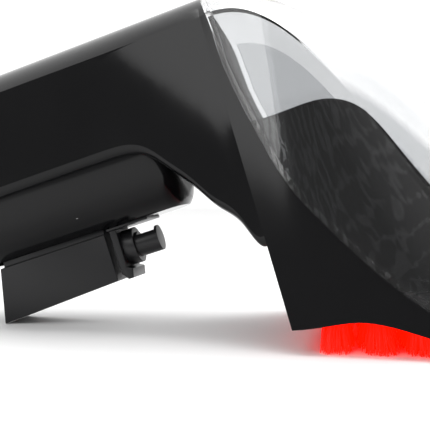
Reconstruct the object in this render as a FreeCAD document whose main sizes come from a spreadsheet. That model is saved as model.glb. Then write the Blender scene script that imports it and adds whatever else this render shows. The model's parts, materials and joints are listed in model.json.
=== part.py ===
import FreeCAD, Part
import Sketcher
import math
import os

# Hand tool of a portable spray-extraction carpet cleaner, in millimetres.
# +X points to the suction mouth, +Z up, and the tool is symmetric about the plane Y = 0.
# It stands on its bristle tips and on the rear corner of its trigger, both at Z = 0.

V = FreeCAD.Vector
X_AXIS = V(1, 0, 0)
Y_AXIS = V(0, 1, 0)
Z_AXIS = V(0, 0, 1)

doc = FreeCAD.newDocument("hand_tool")
dims = doc.addObject("Spreadsheet::Sheet", "dims")

# Grip frame: its X runs forward along the grip, its Z is square to the grip.
DIMENSIONS = [
    ("centre_shift", 3.51),
    ("grip_angle", 18.0),
    ("grip_x", -32.1),
    ("grip_z", 27.5),
    ("grip_rear", -42.0),
    ("neck_end", 48.6),
    ("crown_rise", 57.2),
    ("rim_rise", 18.7),
    ("rim_thick", 3.4),
    ("corner_setback", 2.8),
    ("neck_start", 22.5),
    ("neck_slope", 1.37),
    ("neck_blend", 2.5),
    ("grip_half", 21.0),
    ("arch_rise", 10.0),
    ("skirt_half", 38.0),
    ("skirt_drop", 38.4),
    ("wall", 2.2),
    ("gasket_gap", 1.6),
    ("gasket_proud", 0.5),
    ("floor_thick", 2.0),
    ("liner_thick", 1.4),
    ("liner_foot", 15.3),
    ("liner_front", 76.0),
    ("lip_rise", 4.6),
    ("barrel_radius", 18.6),
    ("barrel_axis", 18.1),
    ("barrel_nose", 27.5),
    ("barrel_flat", 1.3),
    ("nose_round", 6.0),
    ("barrel_wall", 2.0),
    ("cap_thick", 1.6),
    ("slot_rear", -38.4),
    ("slot_front", 0.8),
    ("slot_half", 8.6),
    ("trim_half", 7.4),
    ("trim_front", 14.0),
    ("trim_drop", 0.6),
    ("trigger_width", 16.0),
    ("trigger_wall", 1.8),
    ("trigger_top", 34.8),
    ("trigger_foot", 38.5),
    ("trigger_front_deep", 14.3),
    ("trigger_rear_deep", 16.4),
    ("pin_x", -4.0),
    ("pin_z", 8.0),
    ("pin_radius", 1.5),
    ("pin_half", 14.6),
    ("pin_clearance", 0.06),
    ("spring_wire", 0.4),
    ("spring_length", 9.0),
    ("stem_x", -20.0),
    ("stem_radius", 2.0),
    ("stem_foot", 2.3),
    ("stem_length", 10.6),
    ("valve_base", 8.0),
    ("plate_gap", 0.8),
    ("valve_front", -13.0),
    ("valve_rear", -27.0),
    ("valve_half", 7.6),
    ("line_rise", 13.2),
    ("hose_radius", 2.7),
    ("barb_root", 2.2),
    ("barb_length", 10.6),
    ("barb_seat", 3.6),
    ("tube_radius", 2.5),
    ("nipple_radius", 1.7),
    ("plate_start", 1.2),
    ("plate_thick", 2.2),
    ("plate_half", 6.6),
    ("plug_drop", 5.6),
    ("plug_radius", 3.9),
    ("plug_end", 14.4),
    ("boss_radius", 5.5),
    ("boss_end", 7.2),
    ("socket_bore", 15.0),
    ("spigot_radius", 17.2),
    ("spigot_length", 15.6),
    ("socket_rise", 38.6),
    ("collar_radius", 20.5),
    ("collar_gap", 0.6),
    ("screw_radius", 1.5),
    ("head_radius", 2.8),
    ("bracket_z", 24.4),
    ("bracket_thick", 2.4),
    ("nozzle_x", 31.2),
    ("block_rear", 33.2),
    ("block_front", 74.0),
    ("block_z", 10.0),
    ("block_thick", 5.0),
    ("tuft_root", 2.4),
    ("tuft_tip", 3.6),
    ("tuft_first_x", 36.3),
    ("tuft_step_x", 10.4),
    ("tuft_rows", 4),
    ("tuft_step_y", 8.0),
    ("tuft_columns", 9),
]
for row, (alias, value) in enumerate(DIMENSIONS, start=1):
    dims.set(f"A{row}", alias)
    dims.set(f"B{row}", str(value))
    dims.setAlias(f"B{row}", alias)
doc.recompute()


def size(alias):
    return float(dims.get(alias))


GRIP = FreeCAD.Placement(
    V(size("grip_x"), 0, size("grip_z")), FreeCAD.Rotation(Y_AXIS, -size("grip_angle"))
)
LEVEL = FreeCAD.Placement()
LOFT_DEGREE = 3
GRIP_STATIONS = 20


def from_grip(x, z):
    """A point of the plane Y = 0 given in the grip frame."""
    return GRIP.multVec(V(x, 0, z))


# ---------------------------------------------------------------- sub-part helpers

nodes = []


def node(item, label, frame):
    """Name a finished sub-part and stand it in its frame, with the tool centred on the origin."""
    centred = FreeCAD.Placement(V(size("centre_shift"), 0, 0), FreeCAD.Rotation())
    if item.ExpressionEngine and item.TypeId.startswith("Part::"):
        wrapper = doc.addObject("Part::Compound", label + "_group")
        wrapper.Links = [item]
        item = wrapper
    item.Label = label
    item.Placement = centred.multiply(frame).multiply(item.Placement)
    nodes.append(item)
    return item


def bind(item, **cells):
    for prop, text in cells.items():
        item.setExpression(prop, text)


def move(item, x, y, z):
    bind(item, **{"Placement.Base.x": x, "Placement.Base.y": y, "Placement.Base.z": z})


def box(name, x, y, z, length, width, height):
    item = doc.addObject("Part::Box", name)
    bind(item, Length=length, Width=width, Height=height)
    move(item, x, y, z)
    return item


def rod(name, axis, x, y, z, radius, length):
    item = doc.addObject("Part::Cylinder", name)
    bind(item, Radius=radius, Height=length)
    item.Placement.Rotation = FreeCAD.Rotation(Z_AXIS, axis)
    move(item, x, y, z)
    return item


def ring(name, axis, x, y, z, radius, thick):
    item = doc.addObject("Part::Torus", name)
    bind(item, Radius1=radius, Radius2=thick)
    item.Placement.Rotation = FreeCAD.Rotation(Z_AXIS, axis)
    move(item, x, y, z)
    return item


def cut(name, base, *tools):
    item = doc.addObject("Part::Cut", name)
    item.Base = base
    item.Tool = tools[0] if len(tools) == 1 else fuse(name + "_tools", *tools)
    return item


def fuse(name, *pieces):
    item = doc.addObject("Part::MultiFuse", name)
    item.Shapes = list(pieces)
    return item


def common(name, first, second):
    item = doc.addObject("Part::Common", name)
    item.Base = first
    item.Tool = second
    return item


def freeform(label, shape):
    item = doc.addObject("Part::Feature", label)
    item.Shape = shape
    return node(item, label, LEVEL)


def in_grip(name, shape):
    """A free-form shape as a tool for pieces that are modelled in the grip frame."""
    item = doc.addObject("Part::Feature", name)
    item.Shape = shape
    item.Placement = GRIP.inverse()
    return item


# ---------------------------------------------------------------- outlines in the plane Y = 0


def underside(x):
    """Height of the duct's underside in the grip frame: level grip, then a bend into the neck."""
    blend = size("neck_blend")
    bend = blend * math.log(1 + math.exp((x - size("neck_start")) / blend))
    return size("rim_rise") - size("neck_slope") * bend


def underside_slope(x):
    away = math.exp(-(x - size("neck_start")) / size("neck_blend"))
    return size("neck_slope") / (1 + away)


def plate_top(x):
    """Height of the top of the base plate, which keeps its thickness round the bend."""
    return underside(x) + size("rim_thick") * math.hypot(1, underside_slope(x))


def underside_half(x):
    """Half width of the duct at its underside, which flares through the neck."""
    start = size("neck_start") - 12
    end = size("neck_end")
    reach = (underside(end) - size("crown_rise") + size("arch_rise"))
    full = reach / (-size("skirt_drop") - size("crown_rise") + size("arch_rise"))
    flare = (size("skirt_half") - size("grip_half")) * full
    part = max(0.0, (x - start) / (end - start))
    return size("grip_half") + flare * part ** 2


# Head stations behind one another: crown point, foot point, half width at the shoulder,
# half width at the foot, and the arch's rise above the shoulder.
HEAD_STATIONS = [
    (V(16.4, 0, 96.1), V(36.0, 0, 7.6), 24.0, 38.4, 11.0),
    (V(36.8, 0, 85.6), V(47.0, 0, 8.2), 26.0, 39.0, 20.0),
    (V(62.0, 0, 65.4), V(66.0, 0, 3.6), 29.0, 40.5, 31.0),
    (V(80.5, 0, 47.0), V(82.6, 0, 2.6), 34.0, 41.5, 30.0),
    (V(97.5, 0, 13.0), V(98.0, 0, 2.4), 39.0, 42.0, 6.0),
]

# Parting line of the clear cover, from above the crown to below the skirt.
PARTING_LINE = [
    V(-9.0, 0, 108.0),
    V(-3.5, 0, 96.8),
    V(2.2, 0, 85.8),
    V(6.2, 0, 74.5),
    V(11.1, 0, 64.3),
    V(16.9, 0, 53.7),
    V(24.3, 0, 41.8),
    V(35.0, 0, 30.5),
    V(51.8, 0, 16.0),
    V(73.0, 0, 2.6),
    V(86.0, 0, -6.0),
]

# Upper face of the duct floor: a ramp out of the neck, a hump, and a run down to the mouth.
FLOOR_LINE = [
    V(-20.5, 0, 52.8),
    V(-7.0, 0, 56.0),
    V(6.0, 0, 57.2),
    V(17.0, 0, 58.8),
    V(25.5, 0, 61.6),
    V(33.4, 0, 63.7),
    V(39.5, 0, 62.8),
    V(45.5, 0, 58.6),
    V(52.3, 0, 50.6),
    V(60.5, 0, 40.6),
    V(70.0, 0, 28.8),
    V(80.0, 0, 15.8),
    V(90.0, 0, 3.0),
]


def curve_through(points):
    spline = Part.BSplineCurve()
    spline.interpolate(points)
    return spline


def shifted(points, distance):
    """The same outline moved sideways: to its left seen from -Y where distance is positive."""
    spline = curve_through(points)
    moved = []
    for point in points:
        along = V(*spline.tangent(spline.parameter(point))[0])
        moved.append(point + V(-along.z, 0, along.x) * distance)
    return moved


def slab(first_line, second_line):
    """Everything between two outlines, right across the tool."""
    first = curve_through(first_line).toShape()
    second = curve_through(second_line).toShape()
    start = Part.makeLine(first_line[0], second_line[0])
    end = Part.makeLine(first_line[-1], second_line[-1])
    face = Part.Face(Part.Wire(Part.__sortEdges__([first, end, second, start])))
    return across(face)


def across(face):
    reach = 2 * size("skirt_half")
    face.translate(V(0, -reach, 0))
    return face.extrude(V(0, 2 * reach, 0))


# ---------------------------------------------------------------- the outer form, by sections


def corner_arc(before, corner, after, setback):
    """The start, end and arc that round off a corner by a tangent arc."""
    back = (before - corner).normalize()
    ahead = (after - corner).normalize()
    middle = (back + ahead).normalize()
    half_angle = back.getAngle(ahead) / 2
    centre = corner + middle * (setback / math.cos(half_angle))
    start = corner + back * setback
    end = corner + ahead * setback
    radius = setback * math.tan(half_angle)
    return start, end, Part.Arc(start, centre - middle * radius, end).toShape()


def section(crown, foot, half_top, half_foot, rise, inset, foot_shift, setback=0):
    """One cross-section: an arch on two leaning sides, moved inwards by the inset.

    A setback rounds off its two lower corners."""
    down = (foot - crown).normalize()
    length = (foot - crown).Length
    lean = (half_foot - half_top) / (length - rise)
    top = crown + down * inset
    shoulder = crown + down * (rise + inset / 3)
    bottom = crown + down * (length + foot_shift)
    wide_top = half_top - inset
    wide_foot = half_foot - inset + lean * foot_shift
    near_top = shoulder - Y_AXIS * wide_top
    far_top = shoulder + Y_AXIS * wide_top
    near_foot = bottom - Y_AXIS * wide_foot
    far_foot = bottom + Y_AXIS * wide_foot
    if setback:
        near_end, near_start, near_arc = corner_arc(near_top, near_foot, far_foot, setback)
        far_start, far_end, far_arc = corner_arc(near_foot, far_foot, far_top, setback)
        return Part.Wire([
            Part.makeLine(near_start, far_start),
            far_arc,
            Part.makeLine(far_end, far_top),
            Part.Arc(far_top, top, near_top).toShape(),
            Part.makeLine(near_top, near_end),
            near_arc,
        ])
    return Part.Wire([
        Part.makeLine(near_foot, far_foot),
        Part.makeLine(far_foot, far_top),
        Part.Arc(far_top, top, near_top).toShape(),
        Part.makeLine(near_top, near_foot),
    ])


def grip_form(inset, rear, front, bottom, setback=0):
    """The grip and neck as a loft square to the grip; bottom gives the height of its floor."""
    step = (front - rear) / GRIP_STATIONS
    rings = []
    for number in range(GRIP_STATIONS + 1):
        x = rear + number * step
        crown = from_grip(x, size("crown_rise"))
        foot = from_grip(x, underside(x))
        shift = underside(x) - bottom(x)
        half = underside_half(x)
        top = size("grip_half")
        rise = size("arch_rise")
        rings.append(section(crown, foot, top, half, rise, inset, shift, setback))
    return Part.makeLoft(rings, True, False, False, LOFT_DEGREE)


def head_form(inset, foot_shift):
    """The head, from the skirt's rear face to the front of the mouth."""
    rear = size("neck_end") + max(inset, 0)
    crown = from_grip(rear, size("crown_rise"))
    foot = from_grip(rear, -size("skirt_drop"))
    half = size("grip_half")
    rings = [section(crown, foot, half, size("skirt_half"), size("arch_rise"), inset, foot_shift)]
    for crown, foot, half_top, half_foot, rise in HEAD_STATIONS:
        last = crown is HEAD_STATIONS[-1][0]
        back = V(-inset if last else 0, 0, 0)
        shape = section(crown + back, foot + back, half_top, half_foot, rise, inset, foot_shift)
        rings.append(shape)
    return Part.makeLoft(rings, True, False, False, LOFT_DEGREE)


def outer_form(proud):
    rear, front = size("grip_rear"), size("neck_end")
    grip = grip_form(-proud, rear, front, underside, size("corner_setback"))
    return grip.fuse(head_form(-proud, proud))


def inner_form(inset):
    """The hollow of the tool, with its walls moved inwards by the inset and its underside open.

    It reaches below the plate's top, so that the plate alone closes it."""

    def cavity_bottom(x):
        return plate_top(x) - inset / 2

    rear = size("grip_rear") - 6
    front = size("neck_end") + inset + 1
    grip = grip_form(inset, rear, front, cavity_bottom)
    return grip.fuse(head_form(inset, 12))


def half_space(side):
    """Everything on one side of the plane Y = 0: side is -1 for the near half."""
    reach = 400.0
    corner = V(-reach / 2, 0 if side > 0 else -reach, -reach / 2)
    return Part.makeBox(reach, reach, reach, corner)


OUTER = outer_form(0.0)
INNER = inner_form(size("wall"))
LINED = inner_form(size("wall") + size("liner_thick"))
MIDDLE = outer_form(-size("wall") / 2)
SHELL = OUTER.cut(INNER)

gasket_line = shifted(PARTING_LINE, size("gasket_gap"))
FAR_AHEAD = [V(150, 0, point.z) for point in (gasket_line[0], gasket_line[-1])]
GASKET_ZONE = slab(PARTING_LINE, gasket_line)
cover_edge = curve_through(gasket_line).toShape()
cover_frame = Part.makePolygon([gasket_line[-1], FAR_AHEAD[1], FAR_AHEAD[0], gasket_line[0]])
COVER_ZONE = across(Part.Face(Part.Wire(Part.__sortEdges__([cover_edge] + cover_frame.Edges))))

plate_xs = [size("grip_rear"), -20, 0, 12, 18, 22.5, 27, 33, 40, size("neck_end")]
plate_line = [from_grip(x, plate_top(x)) for x in plate_xs]
below_line = [from_grip(x, underside(x) - 3) for x in plate_xs]
PLATE_ZONE = slab(plate_line, below_line)

# ---------------------------------------------------------------- duct: plate, shells, cover

BOSSES = [from_grip(-30, 27.5), from_grip(4, 28.5), from_grip(45, 1.6)]


def cross_rod(point, radius, low, high):
    return Part.makeCylinder(radius, high - low, V(point.x, low, point.z), Y_AXIS)


def shell_half(side):
    """Half of the black duct body, with its screw bosses."""
    half = SHELL.cut(COVER_ZONE).cut(GASKET_ZONE).cut(PLATE_ZONE).common(half_space(side))
    reach = size("skirt_half") + 6
    low, high = (0, reach) if side > 0 else (-reach, 0)
    for point in BOSSES:
        boss = cross_rod(point, size("head_radius") + 1.2, low, high).common(MIDDLE)
        half = half.fuse(boss)
    for point in BOSSES:
        half = half.cut(cross_rod(point, size("screw_radius"), -10, 8))
        if side > 0:
            half = half.cut(cross_rod(point, size("head_radius") + 0.2, 8, reach))
    return half


def main_solid(shape):
    """The largest solid of a shape, without the slivers that a cut can leave."""
    return max(shape.Solids, key=lambda solid: solid.Volume)


freeform("right_shell", main_solid(shell_half(-1)))
freeform("left_shell", main_solid(shell_half(1)))

PIPE_RUN = [
    from_grip(size("valve_front") + 1, size("line_rise")),
    from_grip(17, size("line_rise")),
    from_grip(30, 13.6),
    V(14, 0, 50),
    V(size("nozzle_x"), 0, 45),
    V(size("nozzle_x"), 0, 33),
]


def rounded_run(points, radius):
    """Straight runs joined by tangent arcs of one radius."""
    edges = []
    start = points[0]
    for before, corner, after in zip(points, points[1:], points[2:]):
        back = (before - corner).normalize()
        ahead = (after - corner).normalize()
        setback = radius / math.tan(back.getAngle(ahead) / 2)
        middle = (back + ahead).normalize()
        centre = corner + middle * math.hypot(radius, setback)
        enter = corner + back * setback
        leave = corner + ahead * setback
        edges.append(Part.makeLine(start, enter))
        edges.append(Part.Arc(enter, centre - middle * radius, leave).toShape())
        start = leave
    edges.append(Part.makeLine(start, points[-1]))
    return Part.Wire(edges)


def pipe_along(points, bend, radius):
    run = rounded_run(points, bend)
    first = run.Edges[0]
    circle = Part.makeCircle(radius, points[0], first.tangentAt(first.FirstParameter))
    return run.makePipeShell([Part.Wire(circle)], True, False)


PIPE_BEND = 6.0
PIPE_OUTER = pipe_along(PIPE_RUN, PIPE_BEND, size("tube_radius"))
PIPE_SPACE = pipe_along(PIPE_RUN, PIPE_BEND, size("tube_radius") + 0.15)
PIPE_BORE = pipe_along(PIPE_RUN, PIPE_BEND, size("nipple_radius"))

plate_body = OUTER.common(PLATE_ZONE).cut(PIPE_SPACE)
freeform("base_plate", main_solid(plate_body))

lip_box = Part.makeBox(60, 200, 20, V(86, -100, size("lip_rise") - 20))
cover_shell = SHELL.common(COVER_ZONE)
freeform("clear_cover", main_solid(cover_shell.cut(lip_box)))
freeform("suction_lip", main_solid(cover_shell.common(lip_box)))

seal_band = outer_form(size("gasket_proud")).cut(INNER).common(GASKET_ZONE).cut(PLATE_ZONE)
freeform("cover_gasket", main_solid(seal_band))


def under_line(points, corners):
    """Everything under an outline, down to the given corners, right across the tool."""
    upper = curve_through(points).toShape()
    lower = Part.makePolygon([points[-1]] + corners + [points[0]])
    return across(Part.Face(Part.Wire(Part.__sortEdges__([upper] + lower.Edges))))


def floor_liner():
    """The duct's floor and the side walls that carry it inside the cover, open underneath."""
    start, end = FLOOR_LINE[0], FLOOR_LINE[-1]
    front = size("liner_front")
    foot = size("liner_foot")
    outside = [V(front, 0, end.z), V(front, 0, foot), V(start.x, 0, foot)]
    lower_line = shifted(FLOOR_LINE, -size("floor_thick"))
    inside = [V(lower_line[-1].x, 0, -30), V(lower_line[0].x, 0, -30)]
    hump = INNER.common(under_line(FLOOR_LINE, outside)).cut(PLATE_ZONE)
    liner = hump.cut(LINED.common(under_line(lower_line, inside)))
    for point in BOSSES:
        liner = liner.cut(cross_rod(point, size("head_radius") + 1.3, -60, 60))
    return liner


freeform("duct_floor", main_solid(floor_liner()))

# ---------------------------------------------------------------- rear end: spigot, collar, seal

SPIGOT_TIP = "dims.grip_rear - dims.spigot_length"

spigot_block = box(
    "spigot_block", "dims.grip_rear", "-40", "0", "3.6", "80", "dims.crown_rise + 10"
)
spigot_flange = common(
    "spigot_flange", spigot_block, in_grip("duct_space", INNER.cut(PLATE_ZONE))
)
spigot_tube = rod(
    "spigot_tube", X_AXIS, SPIGOT_TIP, "0", "dims.socket_rise",
    "dims.spigot_radius", "dims.spigot_length",
)
spigot_bore = rod(
    "spigot_bore", X_AXIS, SPIGOT_TIP + " - 1", "0", "dims.socket_rise",
    "dims.socket_bore", "dims.spigot_length + 8",
)
seal_groove = ring(
    "seal_groove", X_AXIS, "dims.grip_rear - 5", "0", "dims.socket_rise",
    "dims.spigot_radius - 0.5", "0.9",
)
spigot_outer = fuse("spigot_outer", spigot_tube, spigot_flange)
node(cut("spigot_body", spigot_outer, spigot_bore, seal_groove), "hose_spigot", GRIP)

collar_seal = ring(
    "collar_seal_ring", X_AXIS, "dims.grip_rear - 5", "0", "dims.socket_rise",
    "dims.spigot_radius - 0.55", "0.8",
)
node(collar_seal, "collar_seal", GRIP)

RING_START = SPIGOT_TIP + " + 0.4"
retainer_disc = rod(
    "retainer_disc", X_AXIS, RING_START, "0", "dims.socket_rise", "dims.spigot_radius + 1.2", "1.2"
)
retainer_hole = rod(
    "retainer_hole", X_AXIS, RING_START + " - 1", "0", "dims.socket_rise",
    "dims.spigot_radius", "4",
)
node(cut("retainer", retainer_disc, retainer_hole), "retaining_ring", GRIP)


def revolved_body(name, label, outline, frame):
    """A PartDesign body turned about the grip frame's X at the height of the hose socket.

    The outline is a list of (distance along X, radius) texts in the sheet's names."""
    body = doc.addObject("PartDesign::Body", name)
    sketch = body.newObject("Sketcher::SketchObject", name + "_profile")
    planes = [item for item in body.Origin.OriginFeatures if item.Role == "XZ_Plane"]
    sketch.AttachmentSupport = [(planes[0], "")]
    sketch.MapMode = "FlatFace"
    draw_outline(sketch, outline)
    turn = body.newObject("PartDesign::Revolution", name + "_turn")
    turn.Profile = sketch
    turn.ReferenceAxis = (sketch, ["H_Axis"])
    turn.Angle = 360
    body.Tip = turn
    return node(body, label, frame)


def draw_outline(sketch, outline):
    """A closed polygon whose corners are held by distances bound to the sheet."""
    corners = []
    for x_text, y_text in outline:
        corners.append(V(value_of(x_text), value_of(y_text), 0))
    count = len(corners)
    for index in range(count):
        following = corners[(index + 1) % count]
        sketch.addGeometry(Part.LineSegment(corners[index], following), False)
    for index in range(count):
        sketch.addConstraint(
            Sketcher.Constraint("Coincident", index, 2, (index + 1) % count, 1)
        )
    for index, (x_text, y_text) in enumerate(outline):
        for kind, text in (("DistanceX", x_text), ("DistanceY", y_text)):
            number = sketch.addConstraint(
                Sketcher.Constraint(kind, -1, 1, index, 1, value_of(text))
            )
            sketch.setExpression(f"Constraints[{number}]", text)


def value_of(text):
    """The number that a sheet expression stands for."""
    probe = doc.addObject("App::FeaturePython", "probe")
    probe.addProperty("App::PropertyFloat", "Result")
    probe.setExpression("Result", text)
    probe.recompute()
    result = probe.Result
    doc.removeObject(probe.Name)
    return result


COLLAR_REAR = "dims.grip_rear - dims.spigot_length - 0.2"
COLLAR_FRONT = "dims.grip_rear - dims.collar_gap"
COLLAR_BORE = "dims.spigot_radius + 0.3"
COLLAR_STEP = "dims.grip_rear - dims.spigot_length + 1.9"
collar_frame = GRIP.multiply(FreeCAD.Placement(V(0, 0, size("socket_rise")), FreeCAD.Rotation()))
revolved_body("collar_body", "swivel_collar", [
    (COLLAR_REAR, "dims.spigot_radius + 1.5"),
    (COLLAR_REAR, "dims.collar_radius - 1"),
    (COLLAR_REAR + " + 1", "dims.collar_radius"),
    (COLLAR_FRONT + " - 1", "dims.collar_radius"),
    (COLLAR_FRONT, "dims.collar_radius - 1"),
    (COLLAR_FRONT, COLLAR_BORE),
    (COLLAR_STEP, COLLAR_BORE),
    (COLLAR_STEP, "dims.spigot_radius + 1.5"),
], collar_frame)


def padded_body(name, steps):
    """A PartDesign body whose outlines lie in the grip frame's plane Y = 0.

    Each step is (kind, outline, width text): a pad adds, a pocket removes, both about Y = 0."""
    body = doc.addObject("PartDesign::Body", name)
    plane = [item for item in body.Origin.OriginFeatures if item.Role == "XZ_Plane"][0]
    for number, (kind, outline, width) in enumerate(steps):
        title = f"{name}_{number}"
        sketch = body.newObject("Sketcher::SketchObject", title + "_outline")
        sketch.AttachmentSupport = [(plane, "")]
        sketch.MapMode = "FlatFace"
        if kind == "hole":
            draw_circle(sketch, *outline)
        else:
            draw_outline(sketch, outline)
        feature_type = "PartDesign::Pad" if kind == "pad" else "PartDesign::Pocket"
        feature = body.newObject(feature_type, title)
        feature.Profile = sketch
        feature.SideType = "Symmetric"
        feature.Type = "Length"
        feature.setExpression("Length", width)
        doc.recompute()
        body.Tip = feature
    return body


def draw_circle(sketch, x_text, y_text, radius_text):
    centre = V(value_of(x_text), value_of(y_text), 0)
    sketch.addGeometry(Part.Circle(centre, Z_AXIS, value_of(radius_text)), False)
    rules = (("DistanceX", (-1, 1, 0, 3), x_text), ("DistanceY", (-1, 1, 0, 3), y_text))
    for kind, ends, text in rules:
        number = sketch.addConstraint(Sketcher.Constraint(kind, *ends, value_of(text)))
        sketch.setExpression(f"Constraints[{number}]", text)
    number = sketch.addConstraint(Sketcher.Constraint("Radius", 0, value_of(radius_text)))
    sketch.setExpression(f"Constraints[{number}]", radius_text)


# ---------------------------------------------------------------- valve housing and its slot

barrel_solid = rod(
    "barrel_solid", X_AXIS, "dims.grip_rear", "0", "dims.barrel_axis",
    "dims.barrel_radius", "dims.barrel_nose - dims.grip_rear",
)
barrel_space = rod(
    "barrel_space", X_AXIS, "dims.grip_rear - 1", "0", "dims.barrel_axis",
    "dims.barrel_radius - dims.barrel_wall",
    "dims.barrel_nose - dims.grip_rear + 1 - dims.barrel_wall",
)


def rounded_front(name, base, radius):
    """A cylinder whose front edge is rounded."""
    doc.recompute()
    front = max(range(len(base.Shape.Edges)), key=lambda i: base.Shape.Edges[i].CenterOfMass.x)
    item = doc.addObject("Part::Fillet", name)
    item.Base = base
    item.Edges = [(front + 1, radius, radius)]
    return item


NOSE = size("nose_round")
barrel_skin = rounded_front("barrel_skin", barrel_solid, NOSE)
barrel_hollow = rounded_front("barrel_hollow", barrel_space, NOSE - size("barrel_wall"))
SLOT_LENGTH = "dims.slot_front - dims.slot_rear"
slot_space = box(
    "slot_space", "dims.slot_rear", "-dims.slot_half", "-10", SLOT_LENGTH,
    "2 * dims.slot_half", "18",
)
pin_space = rod(
    "pin_space", Y_AXIS, "dims.pin_x", "-dims.pin_half", "dims.pin_z",
    "dims.pin_radius", "2 * dims.pin_half",
)
envelope = in_grip("envelope", OUTER)
pipe_space = in_grip("pipe_space", PIPE_SPACE)


def below(name, height):
    """Everything under a height of the grip frame, along the whole barrel."""
    return box(
        name, "dims.grip_rear - 5", "-30", height + " - 20",
        "dims.barrel_nose - dims.grip_rear + 10", "60", "20",
    )


barrel_room = cut(
    "barrel_room", barrel_hollow, below("under_lining", "dims.barrel_flat + dims.barrel_wall")
)
housing = cut(
    "housing", barrel_skin, barrel_room, below("under_barrel", "dims.barrel_flat"),
    slot_space, pin_space, envelope, pipe_space,
)
node(housing, "valve_housing", GRIP)

trim_strip = box(
    "trim_strip", "dims.slot_front", "-dims.trim_half", "dims.trim_drop",
    "dims.trim_front - dims.slot_front", "2 * dims.trim_half",
    "dims.barrel_flat - dims.trim_drop",
)
node(trim_strip, "slot_trim", GRIP)

cap_disc = rod(
    "cap_disc", X_AXIS, "dims.grip_rear - dims.cap_thick", "0", "dims.barrel_axis",
    "dims.barrel_radius", "dims.cap_thick",
)
cap_plug = rod(
    "cap_plug", X_AXIS, "dims.grip_rear", "0", "dims.barrel_axis",
    "dims.barrel_radius - dims.barrel_wall", "2",
)
cap_top = box(
    "cap_top", "dims.grip_rear - 5", "-20", "dims.socket_rise - dims.collar_radius - 0.7",
    "5", "40", "30",
)
plug_top = box(
    "plug_top", "dims.grip_rear - 1", "-20", "dims.rim_rise - dims.plate_gap", "8", "40", "30"
)
cap_hole = rod(
    "cap_hole", X_AXIS, "dims.grip_rear - 6", "0", "dims.line_rise", "dims.barb_root", "12"
)
plug_round = cut(
    "plug_round", cap_plug, below("under_plug", "dims.barrel_flat + dims.barrel_wall")
)
cap_solid = fuse("cap_solid", cap_disc, plug_round)
cap = cut("cap", cap_solid, cap_top, plug_top, cap_hole, below("under_cap", "dims.barrel_flat"))
node(cap, "housing_cap", GRIP)

# ---------------------------------------------------------------- water line


def tube(name, start, length, outer, inner):
    """A tube on the water line, along the grip."""
    skin = rod(name + "_skin", X_AXIS, start, "0", "dims.line_rise", outer, length)
    hole = rod(
        name + "_hole", X_AXIS, start + " - 1", "0", "dims.line_rise", inner, length + " + 8"
    )
    return skin, hole


BARB_TIP = "dims.grip_rear - dims.barb_length"
BARB_SEAT = "dims.grip_rear - dims.cap_thick - dims.barb_seat"
barb_skin, barb_hole = tube("barb", BARB_TIP, "dims.barb_length + 2.6", "dims.barb_root", "1")
barb_neck = rod(
    "barb_neck", X_AXIS, "dims.grip_rear + 2", "0", "dims.line_rise", "dims.nipple_radius", "5"
)
barb_collar = rod(
    "barb_collar", X_AXIS, BARB_SEAT, "0", "dims.line_rise", "dims.hose_radius", "dims.barb_seat"
)
barb_ridges = []
for step in range(3):
    ridge = doc.addObject("Part::Cone", f"barb_ridge_{step}")
    bind(ridge, Radius1="dims.barb_root", Radius2="dims.hose_radius", Height="1.4")
    ridge.Placement.Rotation = FreeCAD.Rotation(Z_AXIS, X_AXIS)
    move(ridge, BARB_TIP + f" + {step} * 1.7", "0", "dims.line_rise")
    barb_ridges.append(ridge)
barb_solid = fuse("barb_solid", barb_skin, barb_neck, barb_collar, *barb_ridges)
node(cut("barb", barb_solid, barb_hole), "inlet_barb", GRIP)

INLET_START = "dims.grip_rear + 2.8"
inlet_skin, inlet_hole = tube(
    "inlet", INLET_START, "dims.valve_rear - 0.2 - dims.grip_rear - 2.8",
    "dims.tube_radius", "dims.nipple_radius",
)
node(cut("inlet", inlet_skin, inlet_hole), "inlet_tube", GRIP)

valve_block = box(
    "valve_block", "dims.valve_rear", "-dims.valve_half", "dims.valve_base",
    "dims.valve_front - dims.valve_rear", "2 * dims.valve_half",
    "dims.rim_rise - dims.plate_gap - dims.valve_base",
)
valve_nipples = rod(
    "valve_nipples", X_AXIS, "dims.valve_rear - 4", "0", "dims.line_rise",
    "dims.nipple_radius", "dims.valve_front - dims.valve_rear + 8",
)
stem_bore = rod(
    "stem_bore", Z_AXIS, "dims.stem_x", "0", "dims.valve_base - 1",
    "dims.stem_radius", "dims.line_rise + 2 - dims.valve_base + 1",
)
water_way = rod(
    "water_way", X_AXIS, "dims.valve_rear - 6", "0", "dims.line_rise", "1",
    "dims.valve_front - dims.valve_rear + 12",
)
seal_seat = ring(
    "seal_seat", Z_AXIS, "dims.stem_x", "0", "dims.valve_base + 1.6",
    "dims.stem_radius + 0.75", "0.62",
)
valve_solid = fuse("valve_solid", valve_block, valve_nipples)
node(cut("valve", valve_solid, stem_bore, water_way, seal_seat), "valve_body", GRIP)

stem_seal = ring(
    "stem_seal_ring", Z_AXIS, "dims.stem_x", "0", "dims.valve_base + 1.6",
    "dims.stem_radius + 0.75", "0.6",
)
node(stem_seal, "stem_seal", GRIP)

stem_shaft = rod(
    "stem_shaft", Z_AXIS, "dims.stem_x", "0", "dims.stem_foot",
    "dims.stem_radius - dims.pin_clearance", "dims.stem_length",
)
stem_button = rod(
    "stem_button", Z_AXIS, "dims.stem_x", "0", "dims.stem_foot", "dims.stem_radius + 1.4", "1.2"
)
node(fuse("stem", stem_shaft, stem_button), "valve_stem", GRIP)

freeform("outlet_tube", PIPE_OUTER.cut(PIPE_BORE))

# ---------------------------------------------------------------- trigger

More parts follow.
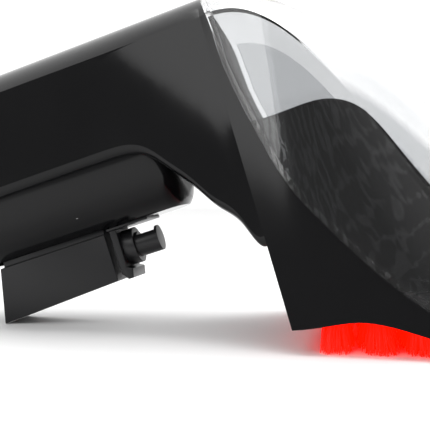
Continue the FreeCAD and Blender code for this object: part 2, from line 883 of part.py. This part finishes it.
TRIGGER_OUTLINE = [
    ("0", "0"),
    ("-dims.trigger_top", "0"),
    ("-dims.trigger_foot", "-dims.trigger_rear_deep"),
    ("0", "-dims.trigger_front_deep"),
]
NECK_OUTLINE = [
    ("-dims.trigger_top + 1.2", "-2"),
    ("-0.4", "-2"),
    ("-0.4", "4.4"),
    ("-dims.trigger_top + 1.2", "4.4"),
]
EAR_OUTLINE = [
    ("dims.pin_x - 4", "-3"),
    ("dims.pin_x + 4", "-3"),
    ("dims.pin_x + 4", "dims.pin_z + 1.4"),
    ("dims.pin_x + 2", "dims.pin_z + 3.4"),
    ("dims.pin_x - 2", "dims.pin_z + 3.4"),
    ("dims.pin_x - 4", "dims.pin_z + 1.4"),
]
HOLLOW_OUTLINE = [
    ("1", "dims.pin_z + 5"),
    ("1", "5"),
    ("-dims.trigger_wall", "5"),
    ("-dims.trigger_wall", "-dims.trigger_front_deep + dims.trigger_wall"),
    ("-dims.trigger_foot + 3.4", "-dims.trigger_rear_deep + 2.1"),
    ("-dims.trigger_top + 2.8", "dims.pin_z + 5"),
]
POST_OUTLINE = [
    ("dims.stem_x - 2.4", "-dims.trigger_front_deep"),
    ("dims.stem_x + 2.4", "-dims.trigger_front_deep"),
    ("dims.stem_x + 2.4", "dims.stem_foot - 0.3"),
    ("dims.stem_x - 2.4", "dims.stem_foot - 0.3"),
]
PIN_HOLE = ("dims.pin_x", "dims.pin_z", "dims.pin_radius + dims.pin_clearance")
trigger = padded_body("trigger_body", [
    ("pad", TRIGGER_OUTLINE, "dims.trigger_width"),
    ("pad", NECK_OUTLINE, "dims.trigger_width - 1"),
    ("pad", EAR_OUTLINE, "dims.trigger_width - 1"),
    ("pocket", HOLLOW_OUTLINE, "dims.trigger_width - 2 * dims.trigger_wall"),
    ("pad", POST_OUTLINE, "6"),
    ("hole", PIN_HOLE, "2 * dims.trigger_width"),
])
node(trigger, "trigger", GRIP)

trigger_pin = rod(
    "pin", Y_AXIS, "dims.pin_x", "-dims.pin_half", "dims.pin_z",
    "dims.pin_radius", "2 * dims.pin_half",
)
node(trigger_pin, "trigger_pin", GRIP)


WIRE_SIDES = 10
SPRING_TURNS = 6


def coil_spring(radius, wire, turns, length):
    """A coil that climbs along Z from the origin."""
    helix = Part.makeHelix(length / turns, length, radius)
    corners = []
    for side in range(WIRE_SIDES + 1):
        angle = 2 * math.pi * side / WIRE_SIDES
        corners.append(V(radius + wire * math.cos(angle), 0, wire * math.sin(angle)))
    return Part.Wire(helix).makePipeShell([Part.makePolygon(corners)], True, True)


spring = doc.addObject("Part::Feature", "spring")
spring.Shape = coil_spring(
    size("pin_radius") + size("spring_wire") * 1.6, size("spring_wire"), SPRING_TURNS,
    size("spring_length"),
)
spring.Placement = FreeCAD.Placement(
    V(size("pin_x"), -size("spring_length") / 2, size("pin_z")), FreeCAD.Rotation(Z_AXIS, Y_AXIS)
)
node(spring, "trigger_spring", GRIP)

# ---------------------------------------------------------------- front plate and keyed plug

PLATE_OUTLINE = [
    ("dims.plate_start", "dims.trim_drop"),
    ("dims.plate_start", "-dims.trigger_front_deep + 1.6"),
    ("dims.plate_start + 1.6", "-dims.trigger_front_deep - 0.5"),
    ("dims.plate_start + 3.2", "-dims.trigger_front_deep - 0.5"),
    ("dims.plate_start + 3.8", "-dims.plug_drop - dims.boss_radius - 1"),
    ("dims.plate_start + dims.plate_thick", "-dims.plug_drop - dims.boss_radius - 0.1"),
    ("dims.plate_start + dims.plate_thick", "dims.trim_drop"),
]
plate = padded_body("plate_body", [("pad", PLATE_OUTLINE, "2 * dims.plate_half")])
node(plate, "front_plate", GRIP)

PLUG_START = "dims.plate_start + dims.plate_thick"
plug_boss = rod(
    "plug_boss", X_AXIS, PLUG_START, "0", "-dims.plug_drop",
    "dims.boss_radius", "dims.boss_end - (" + PLUG_START + ")",
)
plug_rod = rod(
    "plug_rod", X_AXIS, PLUG_START, "0", "-dims.plug_drop",
    "dims.plug_radius", "dims.plug_end - (" + PLUG_START + ")",
)
plug_flat = box(
    "plug_flat", "dims.boss_end + 0.8", "-2.7", "-dims.plug_drop + 2.3", "5.6", "5.4", "4"
)
plug_pocket = box(
    "plug_pocket", "dims.plug_end - 3", "-1.4", "-dims.plug_drop + 0.2", "1.9", "2.8", "6"
)
plug_solid = fuse("plug_solid", plug_boss, plug_rod)
node(cut("plug", plug_solid, plug_flat, plug_pocket), "keyed_plug", GRIP)

# ---------------------------------------------------------------- under the head

head_space = doc.addObject("Part::Feature", "head_space")
head_space.Shape = INNER

lined_space = doc.addObject("Part::Feature", "lined_space")
lined_space.Shape = LINED

bracket_sheet = box(
    "bracket_sheet", "dims.nozzle_x - 8", "-60", "dims.bracket_z", "24", "120",
    "dims.bracket_thick",
)
nozzle_hole = rod(
    "nozzle_hole", Z_AXIS, "dims.nozzle_x", "0", "dims.bracket_z - 1", "3", "6"
)
BRUSH_SCREW_X = "dims.nozzle_x + 10.3"
BLOCK_TOP = "dims.block_z + dims.block_thick"
bracket_posts = []
brush_holes = []
for side in (-20, 20):
    name = "near" if side < 0 else "far"
    post = rod(
        name + "_post", Z_AXIS, BRUSH_SCREW_X, str(side), BLOCK_TOP, "3.4",
        "dims.bracket_z - (" + BLOCK_TOP + ") + 1",
    )
    bracket_posts.append(post)
    hole = rod(
        name + "_brush_hole", Z_AXIS, BRUSH_SCREW_X, str(side), "dims.block_z - 3",
        "dims.screw_radius", "15",
    )
    brush_holes.append(hole)
bracket_plate = common("bracket_plate", bracket_sheet, lined_space)
bracket_solid = fuse("bracket_solid", bracket_plate, *bracket_posts)
bracket = cut("bracket", bracket_solid, nozzle_hole, *brush_holes)
node(bracket, "nozzle_bracket", LEVEL)

nozzle_neck = rod(
    "nozzle_neck", Z_AXIS, "dims.nozzle_x", "0", "dims.bracket_z - 1", "3", "9.6"
)
nozzle_nipple = rod(
    "nozzle_nipple", Z_AXIS, "dims.nozzle_x", "0", "dims.bracket_z", "dims.nipple_radius", "13"
)
nozzle_head = rod("nozzle_head", Z_AXIS, "dims.nozzle_x", "0", "dims.bracket_z - 7", "4.4", "7")
nozzle_tip = doc.addObject("Part::Cone", "nozzle_tip")
bind(nozzle_tip, Radius1="2.6", Radius2="4.4", Height="2")
move(nozzle_tip, "dims.nozzle_x", "0", "dims.bracket_z - 9")
nozzle_bore = rod("nozzle_bore", Z_AXIS, "dims.nozzle_x", "0", "dims.bracket_z - 8", "1", "22")
fan_slit = box(
    "fan_slit", "dims.nozzle_x - 0.4", "-3", "dims.bracket_z - 10", "0.8", "6", "2.2"
)
nozzle_solid = fuse("nozzle_solid", nozzle_neck, nozzle_nipple, nozzle_head, nozzle_tip)
node(cut("nozzle", nozzle_solid, nozzle_bore, fan_slit), "spray_nozzle", LEVEL)

nut_hexagon = doc.addObject("Part::Prism", "nut_hexagon")
nut_hexagon.Polygon = 6
bind(nut_hexagon, Circumradius="5.2", Height="3")
move(nut_hexagon, "dims.nozzle_x", "0", "dims.bracket_z + dims.bracket_thick")
nut_hole = rod("nut_hole", Z_AXIS, "dims.nozzle_x", "0", "dims.bracket_z", "3", "9")
node(cut("nut", nut_hexagon, nut_hole), "nozzle_nut", LEVEL)


def tuft_places():
    half = (size("tuft_columns") - 1) / 2
    for row_number in range(int(size("tuft_rows"))):
        for column in range(int(size("tuft_columns"))):
            yield row_number, column - half


tufts = []
tuft_holes = []
for row_number, column in tuft_places():
    x_text = f"dims.tuft_first_x + {row_number} * dims.tuft_step_x"
    y_text = f"{column} * dims.tuft_step_y"
    tuft = doc.addObject("Part::Cone", "tuft")
    bind(tuft, Radius1="dims.tuft_tip", Radius2="dims.tuft_root", Height="dims.block_z + 2")
    move(tuft, x_text, y_text, "0")
    tufts.append(tuft)
    hole = rod("tuft_hole", Z_AXIS, x_text, y_text, "dims.block_z - 1", "dims.tuft_root + 0.2", "3")
    tuft_holes.append(hole)
bristles = doc.addObject("Part::Compound", "tuft_group")
bristles.Links = tufts
node(bristles, "bristles", LEVEL)

block_solid = box(
    "block_solid", "dims.block_rear", "-60", "dims.block_z",
    "dims.block_front - dims.block_rear", "120", "dims.block_thick",
)
block_plate = common("block_plate", block_solid, head_space)
node(cut("block", block_plate, *tuft_holes, *brush_holes), "brush_block", LEVEL)


def screw(name, axis, x, y, z, length, head_height):
    """A screw whose head's inner face is at the given point; its shaft runs along the axis."""
    shaft = rod(name + "_shaft", axis, x, y, z, "dims.screw_radius", length)
    head = rod(name + "_head", -axis, x, y, z, "dims.head_radius", head_height)
    return fuse(name, shaft, head)


brush_screws = doc.addObject("Part::Compound", "brush_screw_group")
brush_screws.Links = [
    screw(f"brush_screw_{side + 20}", Z_AXIS, BRUSH_SCREW_X, str(side), "dims.block_z", "11", "1.8")
    for side in (-20, 20)
]
node(brush_screws, "brush_screws", LEVEL)

shell_screws = doc.addObject("Part::Compound", "shell_screw_group")
shell_screws.Links = [
    screw(f"shell_screw_{number}", -Y_AXIS, str(point.x), "8", str(point.z), "18", "2.4")
    for number, point in enumerate(BOSSES)
]
node(shell_screws, "shell_screws", LEVEL)

# ---------------------------------------------------------------- checks and files

doc.recompute()
for item in doc.Objects:
    state = item.State
    if "Invalid" in state or "Error" in state:
        raise RuntimeError(f"{item.Label} failed: {state}")
os.makedirs("parts", exist_ok=True)
for item in nodes:
    shape = item.Shape
    if shape.isNull() or not shape.isValid():
        raise RuntimeError(f"{item.Label} has no valid shape")
for item in nodes:
    item.Shape.exportStep(f"parts/{item.Label}.step")
    print(item.Label, len(item.Shape.Solids), round(item.Shape.Volume, 1))
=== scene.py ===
import json
import math
import random

import bmesh
import bpy
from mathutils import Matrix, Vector


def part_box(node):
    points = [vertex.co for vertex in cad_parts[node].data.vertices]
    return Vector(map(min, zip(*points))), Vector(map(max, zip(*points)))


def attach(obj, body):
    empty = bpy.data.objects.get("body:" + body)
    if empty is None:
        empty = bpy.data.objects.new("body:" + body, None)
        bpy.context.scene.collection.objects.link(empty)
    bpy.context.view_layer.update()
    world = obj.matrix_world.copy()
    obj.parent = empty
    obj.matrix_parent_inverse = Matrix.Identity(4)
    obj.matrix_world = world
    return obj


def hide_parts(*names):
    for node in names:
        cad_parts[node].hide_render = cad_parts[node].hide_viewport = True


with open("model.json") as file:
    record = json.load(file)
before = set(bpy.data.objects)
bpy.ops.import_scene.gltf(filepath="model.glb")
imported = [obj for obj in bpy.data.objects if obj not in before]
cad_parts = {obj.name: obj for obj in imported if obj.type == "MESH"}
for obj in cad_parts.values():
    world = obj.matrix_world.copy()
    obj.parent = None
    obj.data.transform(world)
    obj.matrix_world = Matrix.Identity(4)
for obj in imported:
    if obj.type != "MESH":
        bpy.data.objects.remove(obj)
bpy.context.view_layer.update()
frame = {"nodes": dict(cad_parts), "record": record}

MM = 0.001

# ---------------------------------------------------------------- materials

FLOW_SCALE = 35.0
GLOSS_SCALE = 60.0
GRAIN_DEPTH = 0.00006
HAZE_SCALE = 25.0
RIPPLE_SCALE = 18.0
RIPPLE_DEPTH = 0.0004
PLASTIC_IOR = 1.5
SIDE_WALL = (0.86, 0.93)
BRISTLE_TOP = 10 * MM
BRISTLE_PAINTED_GLOW = 0.7


def new_material(name):
    material = bpy.data.materials.new(name)
    material.use_nodes = True
    shader = material.node_tree.nodes["Principled BSDF"]
    return material, material.node_tree, shader


def noise(tree, scale, detail=3.0):
    """Object-space noise, so the pattern stays with the piece."""
    place = tree.nodes.new("ShaderNodeTexCoord")
    texture = tree.nodes.new("ShaderNodeTexNoise")
    texture.inputs["Scale"].default_value = scale
    texture.inputs["Detail"].default_value = detail
    tree.links.new(place.outputs["Object"], texture.inputs["Vector"])
    return texture.outputs["Fac"]


def ramp(tree, value, low, high, start=0.3, end=0.7):
    """Maps a value onto two colours."""
    colours = tree.nodes.new("ShaderNodeValToRGB")
    colours.color_ramp.elements[0].position = start
    colours.color_ramp.elements[1].position = end
    colours.color_ramp.elements[0].color = (*low, 1)
    colours.color_ramp.elements[1].color = (*high, 1)
    tree.links.new(value, colours.inputs["Fac"])
    return colours.outputs["Color"]


def span(tree, value, low, high, start=0.0, end=1.0):
    """Maps a value between start and end onto a range."""
    mapped = tree.nodes.new("ShaderNodeMapRange")
    mapped.inputs["From Min"].default_value = start
    mapped.inputs["From Max"].default_value = end
    mapped.inputs["To Min"].default_value = low
    mapped.inputs["To Max"].default_value = high
    tree.links.new(value, mapped.inputs["Value"])
    return mapped.outputs["Result"]


def axes(tree, kind):
    """The outputs X, Y and Z of a texture coordinate."""
    place = tree.nodes.new("ShaderNodeTexCoord")
    parts = tree.nodes.new("ShaderNodeSeparateXYZ")
    tree.links.new(place.outputs[kind], parts.inputs["Vector"])
    return parts.outputs


def relief(tree, shader, value, strength, distance):
    bump = tree.nodes.new("ShaderNodeBump")
    bump.inputs["Strength"].default_value = strength
    bump.inputs["Distance"].default_value = distance
    tree.links.new(value, bump.inputs["Height"])
    tree.links.new(bump.outputs["Normal"], shader.inputs["Normal"])


def moulded_plastic(name, dark, light, smooth, rough, grain, strength, shine=0.5):
    """Moulded plastic: faint flow marks in colour and gloss, and a fine surface grain."""
    material, tree, shader = new_material(name)
    flow = noise(tree, FLOW_SCALE)
    tree.links.new(ramp(tree, flow, dark, light), shader.inputs["Base Color"])
    gloss = span(tree, noise(tree, GLOSS_SCALE, 6.0), smooth, rough)
    tree.links.new(gloss, shader.inputs["Roughness"])
    relief(tree, shader, noise(tree, grain, 2.0), strength, GRAIN_DEPTH)
    shader.inputs["IOR"].default_value = PLASTIC_IOR
    shader.inputs["Specular IOR Level"].default_value = shine
    return material


def sideways(tree):
    """How squarely a face looks sideways, from 0 on the arch to 1 on a flat side wall."""
    size = tree.nodes.new("ShaderNodeMath")
    size.operation = "ABSOLUTE"
    tree.links.new(axes(tree, "Normal")["Y"], size.inputs[0])
    return size.outputs["Value"]


def clear_plastic(name, tint, rough, ior, painted_side_shade=None):
    """Clear moulded plastic with a faint moulding haze; if asked, flat side walls get painted
    shade, a grey tint standing in for the dark far wall and room seen through them.
    """
    material, tree, shader = new_material(name)
    haze = noise(tree, HAZE_SCALE, 4.0)
    colour = ramp(tree, haze, tint, (1.0, 1.0, 1.0))
    if painted_side_shade:
        # Painted shade: side-facing walls are tinted grey in place of the far wall and room seen
        # through them.
        painted_shade_mix = tree.nodes.new("ShaderNodeMix")
        painted_shade_mix.data_type = "RGBA"
        painted_shade_mix.inputs["B"].default_value = (*painted_side_shade, 1)
        amount = ramp(tree, sideways(tree), (0, 0, 0), (1, 1, 1), *SIDE_WALL)
        tree.links.new(amount, painted_shade_mix.inputs["Factor"])
        tree.links.new(colour, painted_shade_mix.inputs["A"])
        colour = painted_shade_mix.outputs["Result"]
    tree.links.new(colour, shader.inputs["Base Color"])
    tree.links.new(span(tree, haze, rough, rough * 2.5), shader.inputs["Roughness"])
    relief(tree, shader, noise(tree, RIPPLE_SCALE, 1.0), 0.04, RIPPLE_DEPTH)
    shader.inputs["IOR"].default_value = ior
    shader.inputs["Transmission Weight"].default_value = 1.0
    return material


def plated_steel(name):
    material, tree, shader = new_material(name)
    brushed = noise(tree, 400.0, 2.0)
    tree.links.new(ramp(tree, brushed, (0.42, 0.42, 0.43), (0.62, 0.62, 0.63)),
                   shader.inputs["Base Color"])
    tree.links.new(span(tree, brushed, 0.2, 0.4), shader.inputs["Roughness"])
    shader.inputs["Metallic"].default_value = 1.0
    return material


def nylon_bristle(name):
    """Red nylon, deeper red towards the root than at the tip, with a painted red glow: the
    bristles give off red light as if they were a lamp.
    """
    material, tree, shader = new_material(name)
    height = span(tree, axes(tree, "Object")["Z"], 0.0, 1.0, 0.0, BRISTLE_TOP)
    shade = ramp(tree, height, (1.0, 0.02, 0.012), (0.8, 0.0, 0.0), 0.0, 1.0)
    tree.links.new(shade, shader.inputs["Base Color"])
    tree.links.new(span(tree, noise(tree, 900.0), 0.3, 0.5), shader.inputs["Roughness"])
    # Painted glow: red emission lights the floor near the brush, though the bristles are no lamp.
    shader.inputs["Emission Color"].default_value = (1.0, 0.01, 0.0, 1)
    shader.inputs["Emission Strength"].default_value = BRISTLE_PAINTED_GLOW
    return material


BLACK_GLOSS = moulded_plastic(
    "black_gloss", (0.0025, 0.0025, 0.003), (0.004, 0.004, 0.0045), 0.1, 0.16, 900.0, 0.03, 0.24
)
DARK_SATIN = moulded_plastic(
    "dark_satin", (0.008, 0.008, 0.009), (0.013, 0.013, 0.014), 0.3, 0.4, 1400.0, 0.2, 0.35
)
GREY_ACETAL = moulded_plastic(
    "grey_acetal", (0.3, 0.3, 0.31), (0.4, 0.4, 0.41), 0.4, 0.55, 1200.0, 0.2
)
RUBBER = moulded_plastic(
    "seal_rubber", (0.012, 0.012, 0.012), (0.02, 0.02, 0.02), 0.55, 0.75, 1600.0, 0.4
)
# The clear cover's side walls get painted shade, grey in place of the far wall and room seen
# through them.
CLEAR_COVER = clear_plastic(
    "clear_cover", (0.95, 0.96, 0.97), 0.02, 1.49, painted_side_shade=(0.62, 0.63, 0.64)
)
CLEAR_SEAL = clear_plastic("clear_seal", (0.95, 0.96, 0.97), 0.05, 1.45)
CLEAR_HOSE = clear_plastic("clear_hose", (0.85, 0.87, 0.88), 0.12, 1.41)
STEEL = plated_steel("plated_steel")
BRISTLE = nylon_bristle("red_bristle")

NODE_MATERIALS = {
    BLACK_GLOSS: ["right_shell", "left_shell", "base_plate", "duct_floor", "valve_housing"],
    DARK_SATIN: [
        "hose_spigot", "swivel_collar", "slot_trim", "housing_cap", "trigger", "front_plate",
        "keyed_plug", "nozzle_bracket", "brush_block",
    ],
    GREY_ACETAL: ["inlet_barb", "valve_body", "spray_nozzle", "nozzle_nut"],
    RUBBER: ["suction_lip", "collar_seal", "stem_seal"],
    CLEAR_COVER: ["clear_cover"],
    CLEAR_SEAL: ["cover_gasket"],
    CLEAR_HOSE: ["inlet_tube", "outlet_tube"],
    STEEL: [
        "retaining_ring", "valve_stem", "trigger_pin", "trigger_spring", "brush_screws",
        "shell_screws",
    ],
    BRISTLE: ["bristles"],
}


def paint(piece, material):
    piece.data.materials.clear()
    piece.data.materials.append(material)


for material, names in NODE_MATERIALS.items():
    for name in names:
        paint(frame["nodes"][name], material)

# ---------------------------------------------------------------- pieces with softened edges

WELD_DISTANCE = 0.004 * MM
FLAT_ANGLE = math.radians(0.6)
EDGE_ANGLE = math.radians(28.0)
EDGE_SEGMENTS = 3

NODE_BODY = {}
for body, names in frame["record"]["behaviour"]["bodies"].items():
    for name in names:
        NODE_BODY[name] = body


def link(piece, name):
    """Puts a new piece in the scene, riding its CAD node's body and standing for the node."""
    bpy.context.scene.collection.objects.link(piece)
    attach(piece, NODE_BODY[name])
    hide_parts(name)


def apply_modifiers(piece):
    bpy.context.view_layer.update()
    graph = bpy.context.evaluated_depsgraph_get()
    mesh = bpy.data.meshes.new_from_object(piece.evaluated_get(graph))
    piece.modifiers.clear()
    piece.data = mesh


def softened(name, radius):
    """The CAD node's form with moulded, rounded edges."""
    source = frame["nodes"][name]
    mesh = source.data.copy()
    form = bmesh.new()
    form.from_mesh(mesh)
    bmesh.ops.remove_doubles(form, verts=form.verts, dist=WELD_DISTANCE)
    bmesh.ops.dissolve_limit(
        form, angle_limit=FLAT_ANGLE, verts=form.verts, edges=form.edges
    )
    for face in form.faces:
        face.smooth = True
    form.to_mesh(mesh)
    form.free()
    piece = bpy.data.objects.new(name + "_moulded", mesh)
    link(piece, name)
    bevel = piece.modifiers.new("edges", "BEVEL")
    bevel.width = radius * MM
    bevel.segments = EDGE_SEGMENTS
    bevel.limit_method = "ANGLE"
    bevel.angle_limit = EDGE_ANGLE
    bevel.use_clamp_overlap = True
    bevel.harden_normals = True
    apply_modifiers(piece)
    paint(piece, source.data.materials[0])


for name, radius in (
    ("trigger", 0.5), ("front_plate", 0.25), ("keyed_plug", 0.2), ("swivel_collar", 0.5),
    ("slot_trim", 0.15),
):
    softened(name, radius)

# ---------------------------------------------------------------- bristles

CHOICE = random.Random(7)
TUFT_ROWS = 4
TUFT_COLUMNS = 9
BRISTLES_PER_TUFT = 110
BRISTLE_RADIUS = 0.14 * MM
TUFT_ROOT = 2.2 * MM
TUFT_TIP = 4.6 * MM
CONE_TIP = 3.6 * MM
LEAN = 0.7
BOW = 0.4
SIDE_SPLAY = 0.4 * MM
TIP_HEIGHTS = (0.0, 0.2, 0.5, 0.9, 1.7)


def bristle(form, root, tip, bow):
    """One tapered bristle with a slight bow, as a four-sided rod."""
    rings = []
    middle = root.lerp(tip, 0.55) + bow
    stages = ((root, 1.0), (middle, 0.95), (tip, 0.7))
    for point, share in stages:
        ring = []
        for corner in range(4):
            turn = math.pi / 2 * corner
            offset = Vector((math.cos(turn), math.sin(turn), 0)) * BRISTLE_RADIUS * share
            ring.append(form.verts.new(point + offset))
        rings.append(ring)
    for lower, upper in zip(rings, rings[1:]):
        for corner in range(4):
            following = (corner + 1) % 4
            form.faces.new((lower[corner], lower[following], upper[following], upper[corner]))
    form.faces.new(rings[-1])


def kept_within(value, low, high):
    return min(max(value, low), high)


def brush():
    """Tufts of fine bristles in rows across the block, tips uneven and splayed."""
    low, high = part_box("bristles")
    first_x = low[0] + CONE_TIP
    first_y = low[1] + CONE_TIP
    step_x = (high[0] - low[0] - 2 * CONE_TIP) / (TUFT_ROWS - 1)
    step_y = (high[1] - low[1] - 2 * CONE_TIP) / (TUFT_COLUMNS - 1)
    form = bmesh.new()
    for row in range(TUFT_ROWS):
        for column in range(TUFT_COLUMNS):
            centre = Vector((first_x + row * step_x, first_y + column * step_y, high[2] - MM))
            lean = Vector((CHOICE.uniform(-LEAN, LEAN), CHOICE.uniform(-LEAN, LEAN), 0)) * MM
            for _ in range(BRISTLES_PER_TUFT):
                turn = CHOICE.uniform(0, 2 * math.pi)
                outward = Vector((math.cos(turn), math.sin(turn), 0)) * math.sqrt(CHOICE.random())
                root = centre + outward * TUFT_ROOT
                tip = centre + outward * TUFT_TIP + lean
                tip.x = kept_within(tip.x, low[0], high[0])
                tip.y = kept_within(tip.y, low[1] - SIDE_SPLAY, high[1] + SIDE_SPLAY)
                tip.z = CHOICE.choice(TIP_HEIGHTS) * CHOICE.random() * MM
                bow = Vector((CHOICE.uniform(-BOW, BOW), CHOICE.uniform(-BOW, BOW), 0)) * MM
                bristle(form, root, tip, bow)
    mesh = bpy.data.meshes.new("bristle_tufts")
    form.to_mesh(mesh)
    form.free()
    piece = bpy.data.objects.new("bristle_tufts", mesh)
    link(piece, "bristles")
    paint(piece, BRISTLE)


brush()

# ---------------------------------------------------------------- floor, light and camera

FLOOR_REACH = 3.0
DIM = (0.36, 0.36, 0.36)
DIM_BEHIND = 0.9
DIM_LEFT = 0.4
DIM_RANGE = (-0.2, 0.5)
SKY_STRENGTH = 1.15
LENS = 62.0
CAMERA_PLACE = (43.2 * MM, -218.4 * MM, 38.0 * MM)
CAMERA_TURN = (math.radians(88.8), 0, math.radians(10.3))


def floor():
    form = bmesh.new()
    bmesh.ops.create_grid(form, x_segments=4, y_segments=4, size=FLOOR_REACH)
    mesh = bpy.data.meshes.new("floor")
    form.to_mesh(mesh)
    form.free()
    piece = bpy.data.objects.new("floor", mesh)
    bpy.context.scene.collection.objects.link(piece)
    material, tree, shader = new_material("pale_floor")
    shade = ramp(tree, noise(tree, 3.0), (0.93, 0.93, 0.93), (0.95, 0.95, 0.95))
    tree.links.new(shade, shader.inputs["Base Color"])
    shader.inputs["Roughness"].default_value = 0.6
    shader.inputs["Specular IOR Level"].default_value = 0.2
    paint(piece, material)


def softbox(name, place, target, size, power):
    light = bpy.data.lights.new(name, "AREA")
    light.shape = "RECTANGLE"
    light.size = size[0]
    light.size_y = size[1]
    light.energy = power
    lamp = bpy.data.objects.new(name, light)
    lamp.location = place
    lamp.rotation_euler = (Vector(target) - Vector(place)).to_track_quat("-Z", "Y").to_euler()
    bpy.context.scene.collection.objects.link(lamp)


def studio():
    """A white room, dimmer behind the camera and to the left, with two softboxes."""
    world = bpy.data.worlds.new("studio")
    world.use_nodes = True
    tree = world.node_tree
    way = axes(tree, "Generated")
    across = tree.nodes.new("ShaderNodeMath")
    across.operation = "MULTIPLY_ADD"
    across.inputs[1].default_value = DIM_LEFT
    tree.links.new(way["X"], across.inputs[0])
    tree.links.new(way["Z"], across.inputs[2])
    ahead = tree.nodes.new("ShaderNodeMath")
    ahead.operation = "MULTIPLY_ADD"
    ahead.inputs[1].default_value = DIM_BEHIND
    tree.links.new(way["Y"], ahead.inputs[0])
    tree.links.new(across.outputs["Value"], ahead.inputs[2])
    amount = span(tree, ahead.outputs["Value"], 0.0, 1.0, *DIM_RANGE)
    shade = ramp(tree, amount, DIM, (1, 1, 1), 0.0, 1.0)
    sky = tree.nodes["Background"]
    tree.links.new(shade, sky.inputs["Color"])
    sky.inputs["Strength"].default_value = SKY_STRENGTH
    bpy.context.scene.world = world
    softbox("top_box", (0.0, 0.1, 0.9), (0, 0, 0.05), (0.7, 0.5), 5.0)
    softbox("near_box", (-0.35, -0.7, 0.5), (0, 0, 0.05), (0.4, 0.4), 1.5)


def camera():
    lens = bpy.data.cameras.new("camera")
    lens.sensor_width = 36.0
    lens.lens = LENS
    lens.clip_start = 0.005
    view = bpy.data.objects.new("camera", lens)
    view.location = CAMERA_PLACE
    view.rotation_euler = CAMERA_TURN
    bpy.context.scene.collection.objects.link(view)
    bpy.context.scene.camera = view
    bpy.context.scene.view_settings.view_transform = "Standard"


floor()
studio()
camera()
